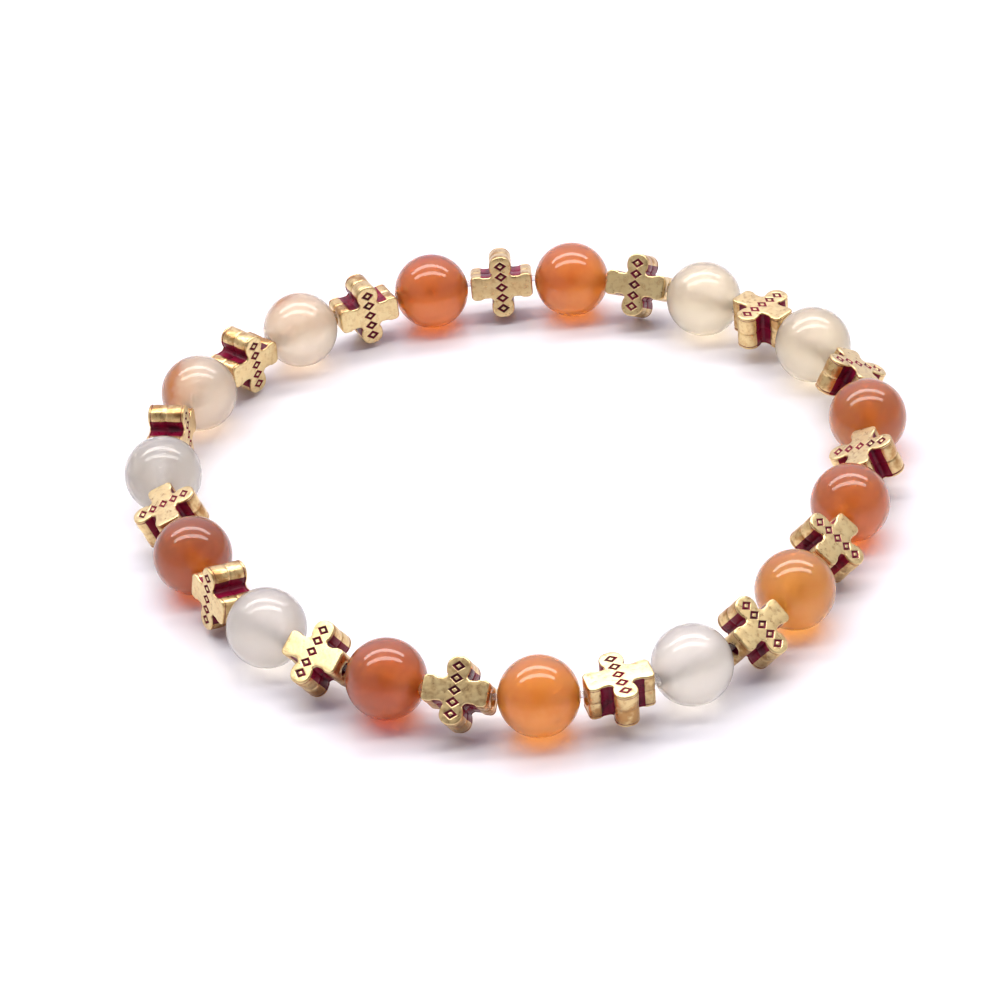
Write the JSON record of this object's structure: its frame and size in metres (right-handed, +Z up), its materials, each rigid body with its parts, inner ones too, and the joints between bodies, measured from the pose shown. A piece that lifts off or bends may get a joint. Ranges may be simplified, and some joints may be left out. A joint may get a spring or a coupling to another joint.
{
  "type": "beaded bracelet",
  "caption": "Stretch bracelet: round polished agate beads take turns with engraved gold-toned cross beads on one elastic thread.",
  "frame": {"origin": "middle of the wrist hollow, on the surface that the bracelet lies on", "axes": "+Z up, through the wrist hollow; +X to the right and +Y to the back as the picture shows it lying"},
  "size_m": [0.0606, 0.0618, 0.006],
  "materials": {
    "agate_orange": "polished translucent agate",
    "agate_russet": "polished translucent agate",
    "agate_peach": "polished translucent agate",
    "agate_cream": "polished translucent agate",
    "agate_clear": "polished cloudy agate",
    "gold_plate": "satin gold plate on cast alloy, antiqued in the recesses",
    "thread": "clear elastic cord"
  },
  "bodies": {
    "root": {"agate_bead_01": "agate_orange", "agate_bead_02": "agate_clear", "agate_bead_03": "agate_orange", "agate_bead_04": "agate_russet", "agate_bead_05": "agate_orange", "agate_bead_06": "agate_cream", "agate_bead_07": "agate_cream", "agate_bead_08": "agate_orange", "agate_bead_09": "agate_russet", "agate_bead_10": "agate_peach", "agate_bead_11": "agate_peach", "agate_bead_12": "agate_clear", "agate_bead_13": "agate_russet", "agate_bead_14": "agate_clear", "agate_bead_15": "agate_russet", "cross_bead_01": "gold_plate", "cross_bead_02": "gold_plate", "cross_bead_03": "gold_plate", "cross_bead_04": "gold_plate", "cross_bead_05": "gold_plate", "cross_bead_06": "gold_plate", "cross_bead_07": "gold_plate", "cross_bead_08": "gold_plate", "cross_bead_09": "gold_plate", "cross_bead_10": "gold_plate", "cross_bead_11": "gold_plate", "cross_bead_12": "gold_plate", "cross_bead_13": "gold_plate", "cross_bead_14": "gold_plate", "cross_bead_15": "gold_plate", "elastic_thread": "thread"}
  },
  "joints": []
}
